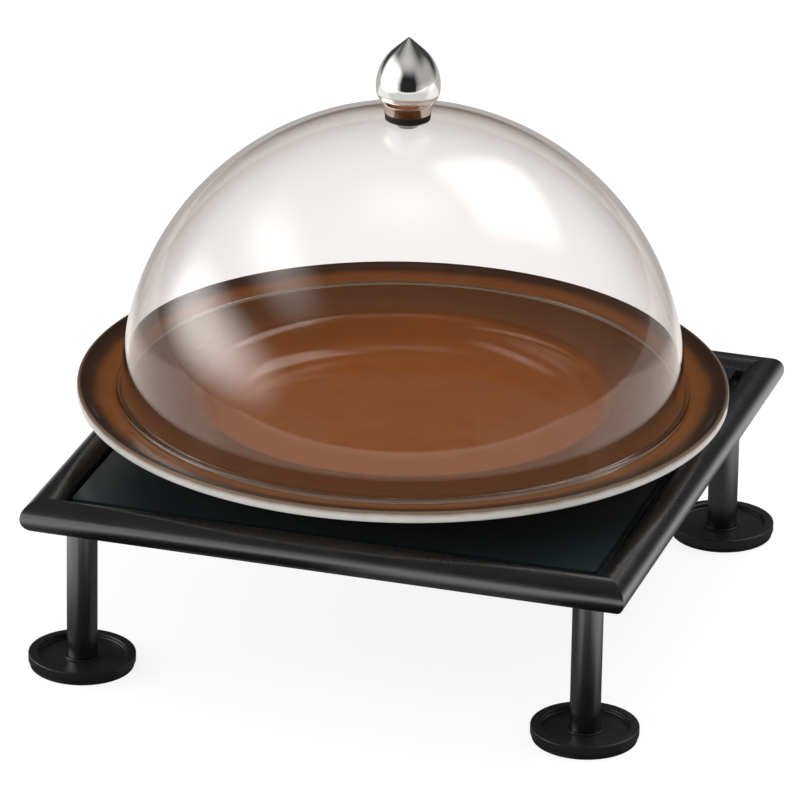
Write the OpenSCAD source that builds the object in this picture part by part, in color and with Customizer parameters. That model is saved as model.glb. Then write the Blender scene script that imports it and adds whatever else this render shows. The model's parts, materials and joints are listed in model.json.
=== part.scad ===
// Domed food display for a buffet: a clear dome with a metal finial, on a deep
// brown dish, on a square black stand with a glass panel and four disc feet.
// Millimetres, +Z up. The origin is on the table, on the axis of the dome and dish.

/* [Stand] */
// How far the dish's lip hangs out over the frame, measured with the dish in the middle
dish_overhang = 10; // [4:0.5:20]
// Height of the frame's top above the table
stand_h = 98; // [70:1:160]
// Outside diameter of the frame tubes
tube_d = 18; // [16:0.5:22]
// Wall of the frame tubes
tube_wall = 1.5; // [1:0.1:3]
// How far the dish is set down left of the frame's centre
dish_offset = 5; // [0:0.5:10]

/* [Ledge and panel] */
// Width of the flat bars that carry the panel
ledge_w = 28; // [24:1:40]
// Thickness of the flat bars
ledge_t = 4; // [3:0.5:6]
// Thickness of the glass panel
panel_t = 6; // [4:0.5:6]
// Depth of the panel's face below the frame's top
panel_drop = 3; // [1:0.5:4]
// Gap between the panel and the frame tubes
panel_gap = 3; // [1:0.5:5]
// Width of the ground bevel round the panel's face
panel_bevel = 2; // [0.5:0.25:2.5]
// Radius of the panel's corners
panel_corner_r = 2; // [1:0.5:6]
// Diameter of the soft bumpers under the panel
bumper_d = 10; // [6:1:14]
// Thickness of the soft bumpers
bumper_t = 1; // [0.5:0.25:2]
// Distance of each bumper from the panel's corner, along its side
bumper_inset = 60; // [40:5:90]

/* [Legs and feet] */
// Diameter of the legs
leg_d = 16; // [12:0.5:18]
// Distance from the frame's inner face to a leg's axis
leg_inset = 7.3; // [6:0.1:14]
// Chamfer at the ends of a leg
leg_chamfer = 0.6; // [0.2:0.1:1.5]
// Diameter of a foot
foot_d = 56; // [44:1:80]
// Thickness of a foot, with its raised rim
foot_t = 5; // [4.5:0.5:12]
// Width of the raised rim of a foot
foot_rim_w = 5; // [2:0.5:8]
// Depth of the recess inside the raised rim
foot_recess = 2.5; // [1:0.5:3]
// Width of the fine ring that centres a leg on its foot
centring_w = 1.2; // [0.8:0.1:3]
// Height of the centring ring
centring_h = 0.8; // [0.6:0.1:2]
// Room between a leg and its centring ring
centring_play = 0.3; // [0.2:0.05:0.5]
// Rounding of a foot's edges
foot_edge_r = 0.8; // [0.3:0.1:1.2]
// Thickness of the rubber pad under a foot
pad_t = 2.5; // [2.5:0.5:6]
// How far a pad's edge stands back from the foot's edge
pad_inset = 0.8; // [0.3:0.1:3]
// Diameter of the hole in a pad that leaves room for the screw's head
pad_hole_d = 14; // [12:1:20]

/* [Stand screws] */
// Thread diameter of the leg and foot screws
screw_d = 5; // [4:0.5:6]
// Head diameter of the leg and foot screws
screw_head_d = 10; // [8:0.5:12]
// Head height of a foot screw
screw_head_h = 2; // [1.5:0.25:2.25]
// How far a screw's thread reaches into a leg
screw_reach = 12; // [8:1:20]

/* [Dish] */
// Diameter of the dish over its lip
dish_d = 342; // [300:1:400]
// Height of the dish
dish_h = 28.8; // [24:0.2:45]
// Wall of the dish's rim and side
dish_wall = 5.5; // [4:0.25:7]
// Height of the well's floor above the dish's foot
floor_h = 4.5; // [4:0.25:7]
// Width of the rim outside the dome, from the dome's flange to the raised lip
rim_outside = 14.5; // [8:0.5:25]
// Width of the rim under the dome, from the flange's outer edge to the well
rim_inside = 18; // [12:0.5:40]
// Steepness of the well's side, from level
well_angle = 45; // [35:1:60]
// Upward slope of the rim, from level
rim_angle = 12; // [4:0.5:18]
// Rounding where the well's side meets its floor
well_floor_r = 14; // [5:0.5:16]
// Rounding where the well's side meets the rim
well_edge_r = 9; // [4:0.5:12]
// Width of the raised lip round the rim
lip_w = 6; // [4:0.5:9]
// Height of the raised lip above the rim
lip_rise = 1.6; // [0.8:0.1:2.5]
// Width of the foot ring under the dish
foot_ring_w = 8; // [4:0.5:14]
// Depth of the recess inside the foot ring
foot_ring_h = 1.2; // [0.6:0.1:1.6]

/* [Dome] */
// Wall of the dome
dome_wall = 3; // [2:0.25:5]
// Height of the straight skirt under the dome's round part
skirt_h = 4.3; // [3:0.1:20]
// How far the flange at the dome's base stands out
flange_w = 2.5; // [1:0.25:4]
// Height of the flange
flange_h = 2.5; // [2:0.25:3]
// Rounding of the flange's outer edge
flange_r = 0.8; // [0.3:0.1:0.9]
// Room between the dome's base and the dish's rim
dome_rest_gap = 0.3; // [0.2:0.05:0.6]

/* [Knob] */
// Largest diameter of the pointed finial
finial_d = 33.6; // [24:0.2:44]
// Height of the finial's widest place above its base
finial_belly_h = 5.2; // [3:0.1:7]
// How far the finial's base draws in from its widest place, on each side
finial_draw_in = 0.6; // [0.4:0.1:1.5]
// Radius of the curved flank above the widest place
finial_flank_r = 26; // [24:0.5:40]
// Half angle of the finial's pointed tip
finial_tip_angle = 48; // [38:1:54]
// Height of the cup ring under the finial
cup_h = 3.5; // [3:0.25:8]
// How far the cup ring draws in from top to bottom, on each side
cup_draw_in = 2.5; // [0.5:0.1:3]
// Height of the collar under the cup ring
collar_h = 6; // [4:0.25:10]
// How far the collar draws in from top to bottom, on each side
collar_draw_in = 1.6; // [0.5:0.1:2.5]
// Width of the fine bevels where the knob's pieces meet
knob_bevel = 0.4; // [0.2:0.05:0.6]
// Thickness of the black gasket on the dome's axis
gasket_t = 3; // [1.5:0.1:5]
// How far the gasket draws in from top to bottom, on each side
gasket_draw_in = 0.3; // [0:0.1:1]
// Thread diameter of the knob's screw
knob_screw_d = 6; // [5:0.5:8]
// Head diameter of the knob's screw
knob_screw_head_d = 11; // [10:0.5:14]
// Head height of the knob's screw
knob_screw_head_h = 2; // [1.5:0.25:4]
// How far the knob's screw reaches into the finial
knob_screw_reach = 12; // [8:1:18]
// Diameter of the washer inside the dome
washer_d = 16; // [15:0.5:22]
// Thickness of the washer inside the dome
washer_t = 1; // [0.8:0.1:2]

/* [Fits] */
// Play all round a screw in a clearance hole
hole_play = 0.25; // [0.1:0.05:0.5]
// Play all round a screw in its tapped hole
thread_play = 0.05; // [0.02:0.01:0.1]
// Spare depth at the end of a tapped hole
tap_spare = 1; // [0.5:0.25:3]

/* [Hidden] */
$fn = 120;
// Steps of the circle that hollows the gasket to the dome's curve
seat_fn = 720;
// Largest turn of one straight step along a rounded outline, in degrees
arc_step = 6;
// Small overlap that makes cutters pass right through
cut = 1;

// Colours of the finished pieces
clear_tint = [0.90, 0.86, 0.86, 0.35];
chrome_tint = [0.80, 0.79, 0.77];
soft_black = [0.07, 0.07, 0.07];
satin_black = [0.10, 0.11, 0.11];
foot_black = [0.13, 0.13, 0.13];
panel_tint = [0.10, 0.15, 0.16];
glaze_brown = [0.50, 0.29, 0.15];
steel_tint = [0.62, 0.62, 0.63];

// Heights, from the table up
foot_z = pad_t;
leg_z = foot_z + foot_t - foot_recess;
tube_z = stand_h - tube_d / 2;
dish_z = stand_h - panel_drop;
panel_z = dish_z - panel_t;
ledge_z = panel_z - bumper_t - ledge_t;

// Plan sizes of the stand, from its own centre
stand_w = dish_d - 2 * dish_overhang;
rail_axis = stand_w / 2 - tube_d / 2;
frame_inside = stand_w / 2 - tube_d;
panel_half = frame_inside - panel_gap;
leg_axis = frame_inside - leg_inset;
leg_h = ledge_z - leg_z;
bumper_axis = panel_half - bumper_d;

// Dish outline, as radius and height above the dish's foot
dish_r = dish_d / 2;
lip_in = [dish_r - lip_w, dish_h - lip_rise];
flange_out = lip_in.x - rim_outside;
well_edge = rim_point(flange_out - rim_inside);
floor_edge = [well_edge.x - (well_edge.y - floor_h) / tan(well_angle), floor_h];
side_under = floor_edge + dish_wall * [sin(well_angle), -cos(well_angle)];
rim_under = lip_in + dish_wall * [sin(rim_angle), -cos(rim_angle)];
well_under = crossing(side_under, well_angle, rim_under, rim_angle);
foot_out = crossing(side_under, well_angle, [0, 0], 0);

// Dome: its base stands on the rim where the flange's outer edge comes down
dome_r = flange_out - flange_w;
dome_z = dish_z + rim_point(flange_out).y + dome_rest_gap;
dome_centre_z = dome_z + skirt_h;
dome_top_z = dome_centre_z + dome_r;

// Knob: its pieces stand on one another along the dome's axis
finial_r = finial_d / 2;
finial_base_r = finial_r - finial_draw_in;
cup_base_r = finial_base_r - cup_draw_in;
collar_base_r = cup_base_r - collar_draw_in;
gasket_base_r = collar_base_r - gasket_draw_in;
collar_z = dome_top_z + gasket_t;
cup_z = collar_z + collar_h;
finial_z = cup_z + cup_h;
washer_z = dome_centre_z + sqrt(pow(dome_r - dome_wall, 2) - pow(washer_d / 2, 2)) - washer_t;

// The point of the sloping rim at a radius
function rim_point(r) = [r, lip_in.y - (lip_in.x - r) * tan(rim_angle)];

// Where two sloping lines cross, each given by a point and its slope in degrees
function crossing(p, p_slope, q, q_slope) =
    let (x = (q.y - p.y + p.x * tan(p_slope) - q.x * tan(q_slope)) / (tan(p_slope) - tan(q_slope)))
    [x, p.y + (x - p.x) * tan(p_slope)];

// Points along an arc about a centre
function arc(centre, r, from, to) =
    let (steps = max(1, ceil(abs(to - from) / arc_step)))
    [for (i = [0 : steps]) let (a = from + (to - from) * i / steps) centre + r * [cos(a), sin(a)]];

function unit(v) = v / norm(v);
function bearing(v) = atan2(v.y, v.x);

// The rounding that replaces the sharp corner b between its neighbours a and c
function corner_arc(a, b, c, r) =
    let (to_a = unit(a - b), to_c = unit(c - b), half = acos(to_a * to_c) / 2,
         centre = b + unit(to_a + to_c) * r / sin(half), reach = r / tan(half),
         from = bearing(b + to_a * reach - centre), to = bearing(b + to_c * reach - centre))
    arc(centre, r, from, from + (to - from + 540) % 360 - 180);

// A closed outline from corners [x, y, rounding]
function rounded(corners) =
    let (n = len(corners), flat = [for (c = corners) [c.x, c.y]])
    [for (i = [0 : n - 1]) each corners[i][2] == 0 ? [flat[i]]
        : corner_arc(flat[(i + n - 1) % n], flat[i], flat[(i + 1) % n], corners[i][2])];

// A corner of a rounded outline
function corner(p, r = 0) = [p.x, p.y, r];

// Solid of revolution from rounded corners
module turned(corners) { rotate_extrude() polygon(rounded(corners)); }

// Ring that narrows downward, with a fine bevel at both edges
module tapered_ring(h, top_r, base_r, bevel, hole_r) {
    turned([[hole_r, 0, 0], [base_r - bevel, 0, 0], [base_r, bevel, 0],
            [top_r, h - bevel, 0], [top_r - bevel, h, 0], [hole_r, h, 0]]);
}

// Places things in the stand, which is centred to the right of the dish
module on_stand(z = 0) { translate([dish_offset, 0, z]) children(); }

// Turns the front member of the frame to side 0 front, 1 right, 2 back or 3 left
module to_side(side) { on_stand() rotate(90 * side) children(); }

// Moves to corner 0 front left, 1 front right, 2 back right or 3 back left
module to_corner(i, z = 0) { on_stand(z) rotate(90 * i) translate([-leg_axis, -leg_axis, 0]) children(); }

// A half ball on a straight skirt, which may reach on below the dome's base
module dome_form(r, below = 0) {
    translate([0, 0, skirt_h]) intersection() {
        sphere(r);
        cylinder(r = r + cut, h = r + cut);
    }
    translate([0, 0, -below]) cylinder(r = r, h = skirt_h + below);
}

module dome_shell() {
    color(clear_tint) translate([0, 0, dome_z]) difference() {
        union() {
            dome_form(dome_r);
            turned([[0, 0, 0], [flange_out, 0, flange_r],
                    [flange_out, flange_h, flange_r], [0, flange_h, 0]]);
        }
        dome_form(dome_r - dome_wall, cut);
        cylinder(r = knob_screw_d / 2 + hole_play, h = skirt_h + dome_r + cut);
    }
}

module knob_finial() {
    // Centres of the flank above the widest place and of the round below it
    flank = [finial_r - finial_flank_r, finial_belly_h];
    low_r = (pow(finial_belly_h, 2) + pow(finial_draw_in, 2)) / (2 * finial_draw_in);
    low = [finial_r - low_r, finial_belly_h];
    flank_end = flank + finial_flank_r * [cos(finial_tip_angle), sin(finial_tip_angle)];
    tip = [0, flank_end.y + flank_end.x / tan(finial_tip_angle)];
    color(chrome_tint) translate([0, 0, finial_z]) difference() {
        rotate_extrude() polygon(concat([[0, 0]], arc(low, low_r, -asin(finial_belly_h / low_r), 0),
                                        arc(flank, finial_flank_r, 0, finial_tip_angle), [tip]));
        translate([0, 0, -cut])
            cylinder(d = knob_screw_d + 2 * thread_play, h = knob_screw_reach + tap_spare + cut);
    }
}

module knob_cup() {
    color(chrome_tint) translate([0, 0, cup_z])
        tapered_ring(cup_h, finial_base_r, cup_base_r, knob_bevel, knob_screw_d / 2 + hole_play);
}

module knob_collar() {
    color(chrome_tint) translate([0, 0, collar_z])
        tapered_ring(collar_h, cup_base_r, collar_base_r, knob_bevel, knob_screw_d / 2 + hole_play);
}

module knob_gasket() {
    hole_r = knob_screw_d / 2 + hole_play;
    top = dome_r + gasket_t;
    rim = sqrt(pow(dome_r, 2) - pow(collar_base_r, 2));
    color(soft_black) translate([0, 0, dome_centre_z]) rotate_extrude() difference() {
        polygon([[hole_r, rim], [gasket_base_r, rim], [collar_base_r, top], [hole_r, top]]);
        circle(dome_r, $fn = seat_fn);
    }
}

module knob_screw() {
    head_r = knob_screw_head_d / 2;
    color(steel_tint) translate([0, 0, washer_z - knob_screw_head_h]) {
        turned([[0, 0, 0], [head_r, 0, knob_bevel], [head_r, knob_screw_head_h, 0],
                [0, knob_screw_head_h, 0]]);
        cylinder(d = knob_screw_d, h = finial_z + knob_screw_reach - washer_z + knob_screw_head_h);
    }
}

module inner_washer() {
    color(steel_tint) translate([0, 0, washer_z]) difference() {
        cylinder(d = washer_d, h = washer_t);
        translate([0, 0, -cut]) cylinder(r = knob_screw_d / 2 + hole_play, h = washer_t + 2 * cut);
    }
}

module serving_dish() {
    foot_in = foot_out.x - foot_ring_w;
    edge_under = rim_under.y + (dish_r - rim_under.x) * tan(rim_angle);
    color(glaze_brown) translate([0, 0, dish_z]) turned([
        [0, floor_h, 0], corner(floor_edge, well_floor_r), corner(well_edge, well_edge_r),
        corner(lip_in, lip_rise), [dish_r - lip_w / 2, dish_h, lip_rise], [dish_r, dish_h, lip_rise],
        [dish_r, edge_under, lip_rise], corner(well_under, well_edge_r), corner(foot_out, foot_ring_h),
        [foot_in, 0, 0], [foot_in - foot_ring_h, foot_ring_h, 0], [0, foot_ring_h, 0]]);
}

module glass_panel() {
    square_r = [for (s = [[-1, -1], [1, -1], [1, 1], [-1, 1]]) corner(panel_half * s, panel_corner_r)];
    color(panel_tint) on_stand(panel_z) difference() {
        linear_extrude(panel_t) polygon(rounded(square_r));
        // The ground bevel along each side of the upper face
        for (side = [0 : 3])
            rotate(90 * side) translate([0, -panel_half, panel_t - panel_bevel]) rotate([45, 0, 0])
                translate([-stand_w / 2, -2 * panel_bevel, 0])
                    cube([stand_w, 2 * panel_bevel, 2 * panel_bevel]);
    }
}

module panel_bumpers() {
    color(soft_black) for (side = [0 : 3], end = [-1, 1])
        to_side(side) translate([end * (panel_half - bumper_inset), -bumper_axis, ledge_z + ledge_t])
            cylinder(d = bumper_d, h = bumper_t);
}

// One frame tube, mitred at both ends
module rail(side) {
    half = stand_w / 2;
    color(satin_black) to_side(side) intersection() {
        translate([-half, -rail_axis, tube_z]) rotate([0, 90, 0]) difference() {
            cylinder(d = tube_d, h = stand_w);
            translate([0, 0, -cut]) cylinder(d = tube_d - 2 * tube_wall, h = stand_w + 2 * cut);
        }
        linear_extrude(stand_h + cut) polygon([[0, 0], [-half, -half], [half, -half]]);
    }
}

// A flat bar welded inside the frame; the side bars run through and take the leg screws
module ledge(side) {
    through = side % 2 == 1;
    half = through ? frame_inside : frame_inside - ledge_w;
    color(satin_black) difference() {
        to_side(side) translate([-half, -frame_inside, ledge_z]) cube([2 * half, ledge_w, ledge_t]);
        if (through) for (i = [0 : 3]) to_corner(i, ledge_z) leg_screw_room(hole_play);
    }
}

// A countersunk screw, with room all round it for its clearance hole
module leg_screw_room(room) {
    r = screw_d / 2 + room;
    head_r = screw_head_d / 2 + room;
    translate([0, 0, -screw_reach]) cylinder(r = r, h = screw_reach + ledge_t);
    translate([0, 0, ledge_t - head_r + r]) cylinder(r1 = r, r2 = head_r, h = head_r - r);
}

module leg(i) {
    r = leg_d / 2;
    tap_h = screw_reach + tap_spare;
    color(satin_black) to_corner(i, leg_z) difference() {
        turned([[0, 0, 0], [r - leg_chamfer, 0, 0], [r, leg_chamfer, 0],
                [r, leg_h - leg_chamfer, 0], [r - leg_chamfer, leg_h, 0], [0, leg_h, 0]]);
        for (z = [-cut, leg_h - tap_h]) translate([0, 0, z])
            cylinder(d = screw_d + 2 * thread_play, h = tap_h + cut);
    }
}

module foot(i) {
    r = foot_d / 2;
    recess_r = r - foot_rim_w;
    hole_r = screw_d / 2 + hole_play;
    floor_t = foot_t - foot_recess;
    ring_r = leg_d / 2 + centring_play;
    ring_z = floor_t + centring_h;
    color(foot_black) to_corner(i, foot_z) turned([
        [hole_r, 0, 0], [r, 0, foot_edge_r], [r, foot_t, foot_edge_r], [recess_r, foot_t, foot_edge_r],
        [recess_r, floor_t, foot_edge_r], [ring_r + centring_w, floor_t, 0],
        [ring_r + centring_w, ring_z, centring_h / 2], [ring_r, ring_z, 0], [ring_r, floor_t, 0],
        [hole_r, floor_t, 0]]);
}

module pad(i) {
    r = foot_d / 2 - pad_inset;
    color(soft_black) to_corner(i) turned([
        [pad_hole_d / 2, 0, 0], [r, 0, foot_edge_r], [r, pad_t, 0], [pad_hole_d / 2, pad_t, 0]]);
}

module leg_screws() {
    color(steel_tint) for (i = [0 : 3]) to_corner(i, ledge_z) leg_screw_room(0);
}

module foot_screws() {
    color(steel_tint) for (i = [0 : 3]) to_corner(i, foot_z) {
        translate([0, 0, -screw_head_h]) cylinder(d = screw_head_d, h = screw_head_h);
        cylinder(d = screw_d, h = leg_z - foot_z + screw_reach);
    }
}

dome_shell();
knob_finial();
knob_cup();
knob_collar();
knob_gasket();
knob_screw();
inner_washer();
serving_dish();
glass_panel();
panel_bumpers();
rail(0);  // rail_front
rail(1);  // rail_right
rail(2);  // rail_back
rail(3);  // rail_left
ledge(0);  // ledge_front
ledge(1);  // ledge_right
ledge(2);  // ledge_back
ledge(3);  // ledge_left
leg(0);  // leg_front_left
leg(1);  // leg_front_right
leg(2);  // leg_back_right
leg(3);  // leg_back_left
foot(0);  // foot_front_left
foot(1);  // foot_front_right
foot(2);  // foot_back_right
foot(3);  // foot_back_left
pad(0);  // pad_front_left
pad(1);  // pad_front_right
pad(2);  // pad_back_right
pad(3);  // pad_back_left
leg_screws();
foot_screws();
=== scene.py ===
# Looks of the domed food display: finishes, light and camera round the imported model.
import json
import math

import bpy
from mathutils import Matrix, Vector

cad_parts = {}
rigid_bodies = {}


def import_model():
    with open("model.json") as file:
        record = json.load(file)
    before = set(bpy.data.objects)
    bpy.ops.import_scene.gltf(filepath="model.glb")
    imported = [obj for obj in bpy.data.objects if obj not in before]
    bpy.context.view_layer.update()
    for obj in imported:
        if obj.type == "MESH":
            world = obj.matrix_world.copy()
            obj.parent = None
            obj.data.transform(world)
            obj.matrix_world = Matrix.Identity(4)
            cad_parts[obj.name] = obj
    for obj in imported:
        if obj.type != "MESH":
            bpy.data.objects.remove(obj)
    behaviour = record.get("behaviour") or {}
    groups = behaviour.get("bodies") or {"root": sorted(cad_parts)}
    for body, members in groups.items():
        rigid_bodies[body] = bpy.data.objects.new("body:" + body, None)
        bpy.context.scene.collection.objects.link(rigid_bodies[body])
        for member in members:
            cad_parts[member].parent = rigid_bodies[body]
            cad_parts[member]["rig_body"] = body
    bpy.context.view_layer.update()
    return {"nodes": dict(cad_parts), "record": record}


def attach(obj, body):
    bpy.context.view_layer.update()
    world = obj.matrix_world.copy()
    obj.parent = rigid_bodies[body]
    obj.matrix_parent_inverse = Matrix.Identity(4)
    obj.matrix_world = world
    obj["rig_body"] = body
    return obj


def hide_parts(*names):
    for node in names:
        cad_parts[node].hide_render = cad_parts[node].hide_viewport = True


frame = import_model()
nodes = frame["nodes"]
scene = bpy.context.scene
MM = 0.001


# Node and material helpers

def add(tree, kind, inputs=None, **settings):
    """A shader node with its settings made and its inputs set or linked."""
    n = tree.nodes.new("ShaderNode" + kind)
    for key, value in settings.items():
        setattr(n, key, value)
    for key, value in (inputs or {}).items():
        if isinstance(value, bpy.types.NodeSocket):
            tree.links.new(value, n.inputs[key])
        else:
            n.inputs[key].default_value = value
    return n


def math_node(tree, operation, a, b=0.0):
    return add(tree, "Math", {0: a, 1: b}, operation=operation).outputs[0]


def spread(tree, value, low, high, start=0.3, end=0.7):
    """The value from start to end, mapped to low to high."""
    made = add(tree, "MapRange", {0: value, 1: start, 2: end, 3: low, 4: high})
    return made.outputs[0]


def smooth(tree, value, start, end, low, high):
    """The value from start to end, eased from low to high."""
    made = add(tree, "MapRange", {0: value, 1: start, 2: end, 3: low, 4: high},
               interpolation_type="SMOOTHSTEP")
    return made.outputs[0]


def place(tree, stretch=(1, 1, 1)):
    """Places on the object in metres, stretched along the axes."""
    coords = add(tree, "TexCoord").outputs["Object"]
    return add(tree, "Mapping", {"Vector": coords, "Scale": stretch}).outputs[0]


def noise(tree, scale, detail=2.0, stretch=(1, 1, 1), roughness=0.5):
    made = add(tree, "TexNoise", {"Vector": place(tree, stretch), "Scale": scale,
                                  "Detail": detail, "Roughness": roughness})
    return made.outputs[0]


def ramp(tree, value, stops):
    """A colour that follows a value through (place, colour) stops."""
    made = add(tree, "ValToRGB", {0: value})
    points = made.color_ramp.elements
    while len(points) < len(stops):
        points.new(1.0)
    for point, (at, colour) in zip(points, stops):
        point.position = at
        point.color = (*colour, 1.0)
    return made.outputs[0]


def mixed(tree, factor, a, b):
    made = add(tree, "Mix", {0: factor, 6: a, 7: b}, data_type="RGBA")
    return made.outputs[2]


def bump(tree, height, strength, distance):
    made = add(tree, "Bump", {"Height": height, "Strength": strength, "Distance": distance})
    return made.outputs[0]


def material(name, **sockets):
    made = bpy.data.materials.new(name)
    made.use_nodes = True
    shader = made.node_tree.nodes["Principled BSDF"]
    for key, value in sockets.items():
        shader.inputs[key.replace("_", " ")].default_value = value
    return made, made.node_tree, shader


def feed(tree, shader, **links):
    for key, output in links.items():
        tree.links.new(output, shader.inputs[key.replace("_", " ")])


# Finishes

def clear_plastic(name="clear_plastic", ior=1.49):
    made, tree, shader = material(name, Base_Color=(1.0, 0.98, 0.967, 1.0), Transmission_Weight=1.0,
                                  IOR=ior, Specular_Tint=(1.0, 0.93, 0.90, 1.0))
    feed(tree, shader, Roughness=spread(tree, noise(tree, 9, 4), 0.0, 0.012))
    return made


def chrome(name, shade):
    made, tree, shader = material(name, Metallic=1.0)
    haze = noise(tree, 160, 4)
    dull = tuple(0.93 * c for c in shade)
    feed(tree, shader, Base_Color=ramp(tree, haze, [(0.3, dull), (0.7, shade)]),
         Roughness=spread(tree, haze, 0.05, 0.1),
         Normal=bump(tree, noise(tree, 900, 2, (1, 1, 0.15)), 0.02, 0.0002))
    return made


def rubber():
    made, tree, shader = material("black_rubber", IOR=1.45)
    grain = noise(tree, 2500, 3)
    black = ramp(tree, noise(tree, 60, 3), [(0.3, (0.008, 0.008, 0.008)), (0.7, (0.016, 0.016, 0.015))])
    feed(tree, shader, Base_Color=black, Roughness=spread(tree, grain, 0.6, 0.8),
         Normal=bump(tree, grain, 0.25, 0.0002))
    return made


def steel():
    made, tree, shader = material("steel", Metallic=1.0)
    lines = noise(tree, 1500, 2, (1, 1, 0.05))
    grey = ramp(tree, lines, [(0.3, (0.52, 0.52, 0.53)), (0.7, (0.66, 0.66, 0.67))])
    feed(tree, shader, Base_Color=grey, Roughness=spread(tree, lines, 0.22, 0.38),
         Normal=bump(tree, lines, 0.1, 0.0002))
    return made


def dark_glass():
    made, tree, shader = material("dark_glass", IOR=1.5)
    smear = noise(tree, 14, 5)
    tint = ramp(tree, smear, [(0.3, (0.010, 0.018, 0.021)), (0.7, (0.014, 0.023, 0.026))])
    feed(tree, shader, Base_Color=tint, Roughness=spread(tree, smear, 0.16, 0.26))
    return made


def paint(name, colour, roughness, grain_scale, grain, ior):
    made, tree, shader = material(name, IOR=ior)
    peel = noise(tree, grain_scale, 2)
    wear = noise(tree, 35, 5)
    lighter = tuple(1.4 * c for c in colour)
    feed(tree, shader, Base_Color=ramp(tree, wear, [(0.35, colour), (0.75, lighter)]),
         Roughness=spread(tree, wear, roughness - 0.015, roughness + 0.02),
         Normal=bump(tree, peel, grain, 0.0003))
    return made


def inner_glaze(tree, radius):
    """Brown by radius in metres: floor, dark well side and inner rim, warm band, burnt edge, and a tan crest
    that is a painted highlight along the lip.
    """
    wander = spread(tree, noise(tree, 22, 4), -0.0016, 0.0016, 0.25, 0.75)
    edge = math_node(tree, "ADD", radius, wander)
    brown = ramp(tree, spread(tree, edge, 0.0, 1.0, 0.100, 0.171), [
        (0.00, (0.280, 0.084, 0.019)), (0.06, (0.275, 0.080, 0.016)), (0.16, (0.130, 0.040, 0.009)),
        (0.47, (0.095, 0.030, 0.008)), (0.64, (0.100, 0.032, 0.008)), (0.75, (0.200, 0.066, 0.015)),
        (0.82, (0.180, 0.058, 0.014)), (0.89, (0.050, 0.020, 0.008)), (1.00, (0.024, 0.013, 0.007))])
    mottle = ramp(tree, noise(tree, 60, 5, roughness=0.6),
                  [(0.3, (0.93, 0.92, 0.91)), (0.7, (1.05, 1.06, 1.07))])
    brown = add(tree, "Mix", {0: 1.0, 6: brown, 7: mottle}, data_type="RGBA", blend_type="MULTIPLY")
    # Painted highlight: a lighter tan along the top of the lip.
    crest_highlight = spread(tree, radius, 0.0, 0.75, 0.1688, 0.1706)
    return mixed(tree, crest_highlight, brown.outputs[2], (0.300, 0.200, 0.130, 1.0))


def glaze():
    """Brown glaze inside, cream round the lip's outside, and a darker grey-brown on the faces under the dish
    that look down.
    """
    made, tree, shader = material("brown_glaze", IOR=1.5)
    parts = add(tree, "SeparateXYZ", {0: place(tree)})
    flat = add(tree, "CombineXYZ", {0: parts.outputs[0], 1: parts.outputs[1]})
    radius = add(tree, "VectorMath", {0: flat.outputs[0]}, operation="LENGTH").outputs["Value"]
    cream = ramp(tree, noise(tree, 90, 5), [(0.3, (0.66, 0.63, 0.59)), (0.7, (0.74, 0.71, 0.67))])
    underside_tone = ramp(tree, noise(tree, 120, 5), [(0.3, (0.18, 0.155, 0.13)), (0.7, (0.22, 0.185, 0.155))])
    ragged = spread(tree, noise(tree, 70, 4), -0.0005, 0.0005, 0.25, 0.75)
    low = spread(tree, math_node(tree, "ADD", parts.outputs[2], ragged), 1.0, 0.0, 0.1207, 0.1230)
    outside = math_node(tree, "MULTIPLY", low, spread(tree, radius, 0.0, 1.0, 0.1690, 0.1700))
    above = mixed(tree, outside, inner_glaze(tree, radius), cream)
    # Faces under the dish that look down get a darker grey-brown, cream only near the lip.
    under = mixed(tree, spread(tree, radius, 0.0, 1.0, 0.1660, 0.1685), underside_tone, cream)
    facing = add(tree, "SeparateXYZ", {0: add(tree, "TexCoord").outputs["Normal"]}).outputs[2]
    below = spread(tree, facing, 1.0, 0.0, -0.15, 0.02)
    pool = noise(tree, 45, 3)
    feed(tree, shader, Base_Color=mixed(tree, below, above, under),
         Roughness=spread(tree, pool, 0.08, 0.13), Normal=bump(tree, pool, 0.03, 0.0008))
    return made


FINISH = {
    "clear_plastic": clear_plastic(),
    "chrome": chrome("chrome", (0.90, 0.88, 0.85)),
    "black_rubber": rubber(),
    "steel": steel(),
    "brown_glaze": glaze(),
    "dark_glass": dark_glass(),
    "black_paint": paint("black_paint", (0.004, 0.0045, 0.0046), 0.27, 900, 0.008, 2.6),
    "matte_black_paint": paint("matte_black_paint", (0.013, 0.013, 0.013), 0.36, 1600, 0.12, 1.6),
}
for part in frame["record"]["subparts"]:
    data = nodes[part["node"]].data
    data.materials.clear()
    data.materials.append(FINISH[part["material_slot"]])


# Turned pieces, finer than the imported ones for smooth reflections, and the dish with its wider rim

def arc(centre, r, start, end, step=2.0):
    count = max(1, math.ceil(abs(end - start) / step))
    turns = [math.radians(start + (end - start) * i / count) for i in range(count + 1)]
    return [(centre[0] + r * math.cos(t), centre[1] + r * math.sin(t)) for t in turns]


def rounded(corners):
    """A closed outline from (radius, height, rounding) corners."""
    out = []
    for i, (x, y, r) in enumerate(corners):
        here = Vector((x, y))
        if r == 0:
            out.append((x, y))
            continue
        before = (Vector(corners[i - 1][:2]) - here).normalized()
        after = (Vector(corners[(i + 1) % len(corners)][:2]) - here).normalized()
        half = before.angle(after) / 2
        centre = here + (before + after).normalized() * (r / math.sin(half))
        start = here + before * (r / math.tan(half)) - centre
        end = here + after * (r / math.tan(half)) - centre
        a = math.degrees(math.atan2(start.y, start.x))
        b = math.degrees(math.atan2(end.y, end.x))
        out += arc(centre, r, a, a + (b - a + 540) % 360 - 180)
    return out


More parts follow.
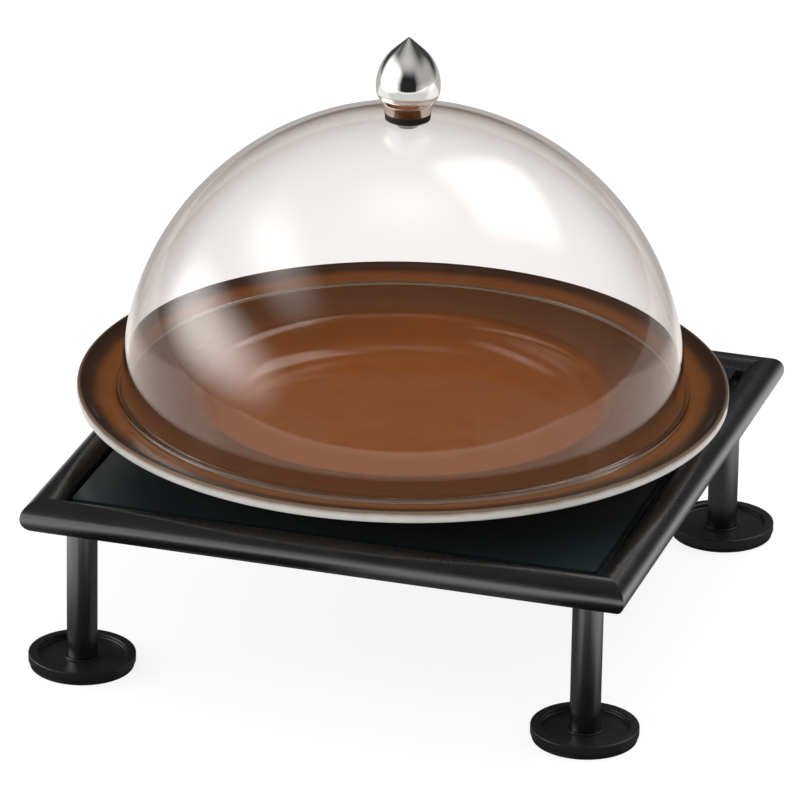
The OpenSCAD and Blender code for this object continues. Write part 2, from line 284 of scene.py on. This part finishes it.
def turned(node, outline, steps=256, crease=32):
    """A solid of revolution from a closed outline in millimetres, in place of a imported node."""
    verts, rings = [], []
    for r, z in outline:
        if r < 1e-6:
            rings.append([len(verts)] * steps)
            verts.append((0.0, 0.0, z * MM))
            continue
        rings.append(list(range(len(verts), len(verts) + steps)))
        turns = [2 * math.pi * i / steps for i in range(steps)]
        verts += [(r * MM * math.cos(t), r * MM * math.sin(t), z * MM) for t in turns]
    faces = []
    for low, high in zip(rings, rings[1:] + rings[:1]):
        for i in range(steps):
            j = (i + 1) % steps
            loop = list(dict.fromkeys((low[i], low[j], high[j], high[i])))
            if len(loop) > 2:
                faces.append(loop)
    mesh = bpy.data.meshes.new(node + "_fine")
    mesh.from_pydata(verts, [], faces)
    mesh.shade_smooth()
    mesh.set_sharp_from_angle(angle=math.radians(crease))
    made = bpy.data.objects.new(node + "_fine", mesh)
    scene.collection.objects.link(made)
    part = next(p for p in frame["record"]["subparts"] if p["node"] == node)
    mesh.materials.append(FINISH[part["material_slot"]])
    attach(made, nodes[node]["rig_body"])
    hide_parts(node)
    return made


def raised(outline, z):
    return [(r, h + z) for r, h in outline]


# Sizes in millimetres: heights are above the table or the piece's own base, pairs are radius and height
DISH_Z = 95.0
DISH_R, LIP_H, LIP_TOP_R, LIP_LOW_H = 171.0, 28.8, 168.0, 22.854
FLOOR_R, FLOOR_H = 99.0, 4.5
SHOULDER_R, SHOULDER_H = 107.0, 23.0
RIM_BEND, RIM_END, UNDER_BEND = (146.0, 23.3), (165.0, 27.2), (135.245, 15.254)
RING_OUT_R, RING_IN_R, RING_H = 119.991, 111.991, 1.2

DOME_Z, SKIRT, DOME_R, WALL, HOLE_R = 119.42, 4.3, 148.0, 3.0, 3.25
FLANGE_R, FLANGE_H, FLANGE_ROUND = 150.5, 2.5, 0.8
CENTRE_Z = DOME_Z + SKIRT
DOME_TOP_Z = CENTRE_Z + DOME_R

GASKET_T, GASKET_R, GASKET_SEAT_R, GASKET_TOP_R, GASKET_BEVEL = 3.0, 12.06, 11.81, 11.9, 0.2
COLLAR_Z, COLLAR_H, COLLAR_LOW_R = DOME_TOP_Z + GASKET_T, 6.0, 12.1
CUP_Z, CUP_H, CUP_LOW_R, CUP_TOP_R = COLLAR_Z + COLLAR_H, 3.5, 13.7, 16.2
RING_BEVEL = 0.4
FINIAL_Z, FINIAL_H, FINIAL_LOW_R = CUP_Z + CUP_H, 31.9, 15.9
BELLY_R, BELLY_H, BELLY_ARC_R, BELLY_TURN = 16.8, 5.2, 22.833, 12.4
FLANK_ARC_R, TIP_TURN, TIP_ROUND = 26.0, 48.0, 0.8
TAP_R, TAP_H = 3.05, 13.0


def dish_outline():
    """Floor, well side, flat rim and raised lip, then back below to the foot ring."""
    return raised(rounded([
        (0, FLOOR_H, 0), (FLOOR_R, FLOOR_H, 17), (SHOULDER_R, SHOULDER_H, 9), (*RIM_BEND, 30),
        (*RIM_END, 1.2), (LIP_TOP_R, LIP_H, 2.6), (DISH_R, LIP_H, 1.4), (DISH_R, LIP_LOW_H, 1.6),
        (*UNDER_BEND, 9), (RING_OUT_R, 0, 1.2), (RING_IN_R, 0, 0), (RING_IN_R - RING_H, RING_H, 0),
        (0, RING_H, 0)]), DISH_Z)


def dome_outline():
    """Flange and skirt, then the outer wall up to the screw hole and the inner wall down again."""
    inner = DOME_R - WALL
    top_in = math.degrees(math.acos(HOLE_R / inner))
    top_out = math.degrees(math.acos(HOLE_R / DOME_R))
    flange = rounded([
        (inner, 0, 0.3), (FLANGE_R, 0, FLANGE_ROUND), (FLANGE_R, FLANGE_H, FLANGE_ROUND),
        (DOME_R, FLANGE_H, 0.6), (DOME_R, SKIRT, 0), (inner, SKIRT, 0)])
    out = arc((0, CENTRE_Z), DOME_R, 0.5, top_out, 1.5)
    back = arc((0, CENTRE_Z), inner, top_in, 0.5, 1.5)
    return raised(flange[:-1], DOME_Z) + out + back + [(inner, CENTRE_Z)]


def finial_outline():
    """A bud with a rounded belly, a long flank and a small round tip, tapped from below."""
    belly = arc((BELLY_R - BELLY_ARC_R, BELLY_H), BELLY_ARC_R, -BELLY_TURN, 0)
    flank = arc((BELLY_R - FLANK_ARC_R, BELLY_H), FLANK_ARC_R, 0, TIP_TURN)
    tip_z = FINIAL_H - TIP_ROUND / math.sin(math.radians(TIP_TURN))
    tip = arc((0, tip_z), TIP_ROUND, TIP_TURN, 90, 7)
    bud = belly + flank[1:] + tip[:-1] + [(0, tip[-1][1])]
    return raised([(TAP_R, 0), (FINIAL_LOW_R, 0)] + bud + [(0, TAP_H), (TAP_R, TAP_H)], FINIAL_Z)


def ring_outline(low_r, top_r, height, z):
    """A tapered ring of the knob, with its screw hole."""
    corners = [(HOLE_R, 0, 0), (low_r, 0, RING_BEVEL), (top_r, height, RING_BEVEL), (HOLE_R, height, 0)]
    return raised(rounded(corners), z)


def gasket_outline():
    """A ring that is hollowed to the dome's curve below and flat on top."""
    seat_low = math.degrees(math.acos(GASKET_SEAT_R / DOME_R))
    seat_high = math.degrees(math.acos(HOLE_R / DOME_R))
    top = [(GASKET_R, GASKET_T - GASKET_BEVEL), (GASKET_TOP_R, GASKET_T), (HOLE_R, GASKET_T)]
    return arc((0, CENTRE_Z), DOME_R, seat_high, seat_low, 0.4) + raised(top, DOME_TOP_Z)


dish = turned("serving_dish", dish_outline(), steps=320)
dome = turned("dome_shell", dome_outline(), steps=320)
finial = turned("knob_finial", finial_outline(), steps=160)
cup = turned("knob_cup", ring_outline(CUP_LOW_R, CUP_TOP_R, CUP_H, CUP_Z), steps=160)
collar = turned("knob_collar", ring_outline(COLLAR_LOW_R, CUP_LOW_R, COLLAR_H, COLLAR_Z), steps=160)
turned("knob_gasket", gasket_outline(), steps=160)

# The flange bends light less than the wall, so that its thin edge draws no heavy line
EDGE_IOR = 1.20
dome.data.materials.append(clear_plastic("clear_plastic_edge", EDGE_IOR))
for face in dome.data.polygons:
    if face.center.z < CENTRE_Z * MM:
        face.material_index = 1
dome.visible_shadow = False
dome.visible_diffuse = False
# The collar gets a darker copy of the chrome: painted shade for the darker reflections on it.
collar.data.materials[0] = chrome("chrome_with_painted_shade", (0.62, 0.58, 0.55))


# Floor and surroundings

AZ, EL = math.radians(16.634), math.radians(23.086)
TOWARD = Vector((math.sin(AZ), -math.cos(AZ), 0))
RIGHT = Vector((math.cos(AZ), math.sin(AZ), 0))
STAND_HALF = 0.163
TABLE_HALF, TABLE_AHEAD, TABLE_BEHIND = 3.0, 1.5, 6.0
OWN_LIGHT, OWN_GREY, BOUNCE_GREY = 0.86, 0.22, 0.75
LIT_POINT = Vector((0, 0, 0.13))

# Light that comes in through the dome's wall and goes out again bends more often than this
DEEP = 2.5


def mirrored_table(tree, path):
    """How the table glows in the pieces' reflections: a painted shadow under the stand, painted shade that
    makes it less bright in front and far back, and a painted warm tint through the dome.
    """
    spot = add(tree, "SeparateXYZ", {0: place(tree)}).outputs
    gaps = [math_node(tree, "SUBTRACT", math_node(tree, "ABSOLUTE", spot[k]), STAND_HALF) for k in (0, 1)]
    gaps = [math_node(tree, "MAXIMUM", g, 0.0) for g in gaps]
    out = add(tree, "CombineXYZ", {0: gaps[0], 1: gaps[1]}).outputs[0]
    away = add(tree, "VectorMath", {0: out}, operation="LENGTH").outputs["Value"]
    ahead = add(tree, "VectorMath", {0: place(tree), 1: TOWARD}, operation="DOT_PRODUCT").outputs["Value"]
    # Painted shadow: the table's glow darkens towards the stand.
    stand_shadow_painted = smooth(tree, away, 0.02, 0.15, 0.12, 1.0)
    front = smooth(tree, ahead, 0.10, 0.34, 0.97, 0.70)
    far = smooth(tree, ahead, 0.95, 1.15, 0.0, 0.25)
    behind = smooth(tree, ahead, -0.62, -0.40, 0.52, 1.0)
    shade = math_node(tree, "MULTIPLY", stand_shadow_painted, math_node(tree, "ADD", front, far))
    shade = math_node(tree, "MULTIPLY", shade, behind)
    # Painted warm tint on the table where it is seen through the dome.
    inner = math_node(tree, "GREATER_THAN", path["Transmission Depth"], 0.5)
    tint = mixed(tree, inner, (1.0, 1.0, 1.0, 1.0), (1.0, 0.86, 0.77, 1.0))
    return add(tree, "Emission", {"Color": tint, "Strength": shade}).outputs[0]


def floor():
    """A white table that ends in front of the object, partly lit from itself so that it looks white."""
    corners = [RIGHT * x + TOWARD * y for x, y in (
        (-TABLE_HALF, TABLE_AHEAD), (TABLE_HALF, TABLE_AHEAD),
        (TABLE_HALF, -TABLE_BEHIND), (-TABLE_HALF, -TABLE_BEHIND))]
    mesh = bpy.data.meshes.new("floor")
    mesh.from_pydata(corners, [], [(0, 1, 2, 3)])
    made = bpy.data.objects.new("floor", mesh)
    scene.collection.objects.link(made)
    look = bpy.data.materials.new("white_table")
    look.use_nodes = True
    tree = look.node_tree
    tree.nodes.clear()
    path = add(tree, "LightPath").outputs
    straight = math_node(tree, "LESS_THAN", path["Glossy Depth"], 0.5)
    seen = math_node(tree, "MAXIMUM", path["Is Camera Ray"], path["Is Transmission Ray"])
    seen = math_node(tree, "MULTIPLY", seen, straight)
    glow = add(tree, "Emission", {"Strength": OWN_LIGHT})
    faint = add(tree, "BsdfDiffuse", {"Color": (OWN_GREY, OWN_GREY, OWN_GREY, 1.0)})
    white = add(tree, "AddShader", {0: glow.outputs[0], 1: faint.outputs[0]})
    even = add(tree, "BsdfDiffuse", {"Color": (BOUNCE_GREY, BOUNCE_GREY, BOUNCE_GREY, 1.0)})
    sharp = math_node(tree, "GREATER_THAN", path["Glossy Depth"], 0.5)
    sharp = math_node(tree, "MULTIPLY", sharp, math_node(tree, "SUBTRACT", 1.0, path["Is Diffuse Ray"]))
    plain = add(tree, "MixShader", {0: sharp, 1: even.outputs[0], 2: mirrored_table(tree, path)})
    both = add(tree, "MixShader", {0: seen, 1: plain.outputs[0], 2: white.outputs[0]})
    add(tree, "OutputMaterial", {"Surface": both.outputs[0]})
    mesh.materials.append(look)


def surroundings():
    """White where the camera looks, straight or through the dome; a dim studio in reflections."""
    world = bpy.data.worlds.new("studio")
    scene.world = world
    world.use_nodes = True
    tree = world.node_tree
    tree.nodes.clear()
    path = add(tree, "LightPath").outputs
    looking = math_node(tree, "MAXIMUM", path["Is Camera Ray"], path["Is Transmission Ray"])
    mirrored = math_node(tree, "GREATER_THAN", path["Glossy Depth"], 0.5)
    through = math_node(tree, "GREATER_THAN", path["Transmission Depth"], DEEP)
    inside = math_node(tree, "MULTIPLY", mirrored, math_node(tree, "MAXIMUM", through, path["Is Glossy Ray"]))
    up = add(tree, "SeparateXYZ", {0: add(tree, "TexCoord").outputs["Generated"]}).outputs[2]
    height = spread(tree, up, 0.0, 1.0, -1.0, 1.0)
    dim = ramp(tree, height, [
        (0.0, (0.28, 0.28, 0.28)), (0.46, (0.28, 0.28, 0.28)),
        (0.55, (0.045, 0.045, 0.045)), (1.0, (0.07, 0.07, 0.07))])
    pale = ramp(tree, height, [
        (0.0, (0.22, 0.15, 0.11)), (0.46, (0.22, 0.15, 0.11)), (0.52, (0.15, 0.115, 0.09)),
        (0.68, (0.15, 0.115, 0.09)), (0.80, (0.05, 0.035, 0.03)), (1.0, (0.06, 0.04, 0.03))])
    edge = mixed(tree, mirrored, (1.0, 1.0, 1.0, 1.0), (0.80, 0.74, 0.73, 1.0))
    seen = mixed(tree, inside, edge, pale)
    soft = mixed(tree, path["Is Diffuse Ray"], dim, (0.76, 0.76, 0.76, 1.0))
    back = add(tree, "Background", {"Color": mixed(tree, looking, soft, seen), "Strength": 1.0})
    add(tree, "OutputWorld", {"Surface": back.outputs[0]})


def softbox(name, bearing, elevation, distance, size, radiance, lit, soft=0.3, under=1.0):
    """A soft-edged studio light for some pieces, placed by its bearing to the right of the camera's.

    Under is its share in reflections that are seen through the dome.
    """
    light = bpy.data.lights.new(name, "AREA")
    light.shape = "RECTANGLE"
    light.size, light.size_y = size
    light.energy = radiance * math.pi * size[0] * size[1]
    light.use_nodes = True
    tree = light.node_tree
    across = add(tree, "SeparateXYZ", {0: add(tree, "NewGeometry").outputs["Parametric"]})
    level = 1.0
    for side in across.outputs[:2]:
        edge = math_node(tree, "MINIMUM", side, math_node(tree, "SUBTRACT", 1.0, side))
        level = math_node(tree, "MULTIPLY", smooth(tree, edge, 0.0, soft, 0.0, 1.0), level)
    depth = add(tree, "LightPath").outputs["Transmission Depth"]
    deep = math_node(tree, "GREATER_THAN", depth, DEEP)
    level = math_node(tree, "MULTIPLY", level, spread(tree, deep, 1.0, under, 0.0, 1.0))
    tree.links.new(level, tree.nodes["Emission"].inputs["Strength"])
    made = bpy.data.objects.new(name, light)
    scene.collection.objects.link(made)
    a, e = math.radians(bearing), math.radians(elevation)
    away = (TOWARD * math.cos(a) + RIGHT * math.sin(a)) * math.cos(e) + Vector((0, 0, math.sin(e)))
    made.location = LIT_POINT + away * distance
    made.rotation_euler = away.to_track_quat("Z", "Y").to_euler()
    made.visible_camera = False
    group = bpy.data.collections.new(name + "_lit")
    for o in lit:
        group.objects.link(o)
    made.light_linking.receiver_collection = group


def card(name, corners):
    """A black card that shows in reflections only."""
    mesh = bpy.data.meshes.new(name)
    mesh.from_pydata(corners, [], [(0, 1, 2, 3)])
    made = bpy.data.objects.new(name, mesh)
    scene.collection.objects.link(made)
    look = material(name, Base_Color=(0.01, 0.01, 0.01, 1.0), Roughness=0.9)[0]
    mesh.materials.append(look)
    made.visible_camera = False
    made.visible_diffuse = False
    made.visible_transmission = False
    made.visible_shadow = False


floor()
surroundings()
# Painted dark reflections: the two low cards make the table in front of the front legs look dark, as shade,
# in reflections, and the front card puts a dark patch in the knob's reflection.
LEG_CARD_HALF, LEG_CARD_NEAR, LEG_CARD_FAR, LEG_CARD_Z = 0.075, -0.15, -0.32, 0.0005
for name, x in (("card_left", -0.085), ("card_right", 0.180)):
    card(name, [(x + u, y, LEG_CARD_Z) for u, y in (
        (-LEG_CARD_HALF, LEG_CARD_FAR), (LEG_CARD_HALF, LEG_CARD_FAR),
        (LEG_CARD_HALF, LEG_CARD_NEAR), (-LEG_CARD_HALF, LEG_CARD_NEAR))])
FRONT_CARD_AWAY, FRONT_CARD_HALF, FRONT_CARD_LOW, FRONT_CARD_TOP = 1.2, 0.62, 0.05, 1.2
card("card_front", [TOWARD * FRONT_CARD_AWAY + RIGHT * u + Vector((0, 0, v)) for u, v in (
    (-FRONT_CARD_HALF, FRONT_CARD_LOW), (FRONT_CARD_HALF, FRONT_CARD_LOW),
    (FRONT_CARD_HALF, FRONT_CARD_TOP), (-FRONT_CARD_HALF, FRONT_CARD_TOP))])
chrome_set = [finial, cup, collar]
stand_set = [nodes[n] for n in frame["record"]["behaviour"]["bodies"]["stand"]] + [nodes["glass_panel"]]
rest = [o for o in scene.objects if o.type == "MESH" and o not in chrome_set]
no_dish = [o for o in rest if o != dish]
# Bearing and elevation in degrees, distance and size in metres, brightness, lit pieces, edge, share
softbox("softbox_left", -88, 13, 1.2, (2.2, 0.72), 5.5, no_dish, 0.5, 0.15)
softbox("dish_left", -88, 46, 1.2, (1.8, 0.6), 2.2, [dish, dome], 0.5)
softbox("softbox_back", 128, 54, 1.3, (1.1, 0.9), 3.0, no_dish)
softbox("softbox_top", 180, 84, 1.3, (1.1, 0.9), 0.9, [dish, dome], 0.5)
softbox("dome_left", -88, 13, 1.2, (2.2, 0.72), 10.5, [dome], 0.5, 0.0)
softbox("softbox_front", -42, 4, 1.3, (0.8, 0.3), 1.2, stand_set, 0.45)
softbox("softbox_right", 95, 6, 1.2, (1.2, 0.4), 2.0, stand_set, 0.45)
softbox("knob_left", -76, 22, 0.8, (1.9, 1.2), 1.3, chrome_set, 0.3)
softbox("knob_right", 74, 22, 0.8, (1.8, 1.2), 0.38, chrome_set, 0.35)
softbox("knob_top", -10, 66, 0.8, (2.0, 1.2), 0.55, chrome_set, 0.5)


# Camera at the photograph's viewing angle

AIM, CAMERA_AWAY = Vector((0.005, 0, 0.11)), 4.0232
FOCAL_PX, PHOTO_PX, SENSOR_MM = 7662.3, 800, 36.0
YAW, PITCH, ROLL = -0.089, 0.044, 1.032


def camera():
    yaw, pitch, roll = (math.radians(v) for v in (YAW, PITCH, ROLL))
    back = Vector((math.sin(AZ) * math.cos(EL), -math.cos(AZ) * math.cos(EL), math.sin(EL)))
    forward, right = -back, RIGHT
    up = right.cross(forward)
    forward, right = (forward * math.cos(yaw) + right * math.sin(yaw),
                      right * math.cos(yaw) - forward * math.sin(yaw))
    forward, up = (forward * math.cos(pitch) + up * math.sin(pitch),
                   up * math.cos(pitch) - forward * math.sin(pitch))
    right, up = (right * math.cos(roll) + up * math.sin(roll),
                 up * math.cos(roll) - right * math.sin(roll))
    data = bpy.data.cameras.new("camera")
    data.sensor_fit = "HORIZONTAL"
    data.sensor_width = SENSOR_MM
    data.lens = FOCAL_PX * SENSOR_MM / PHOTO_PX
    data.clip_end = 50
    made = bpy.data.objects.new("camera", data)
    scene.collection.objects.link(made)
    made.matrix_world = Matrix((right, up, -forward)).transposed().to_4x4()
    made.location = AIM + back * CAMERA_AWAY
    scene.camera = made


camera()
scene.view_settings.view_transform = "Standard"
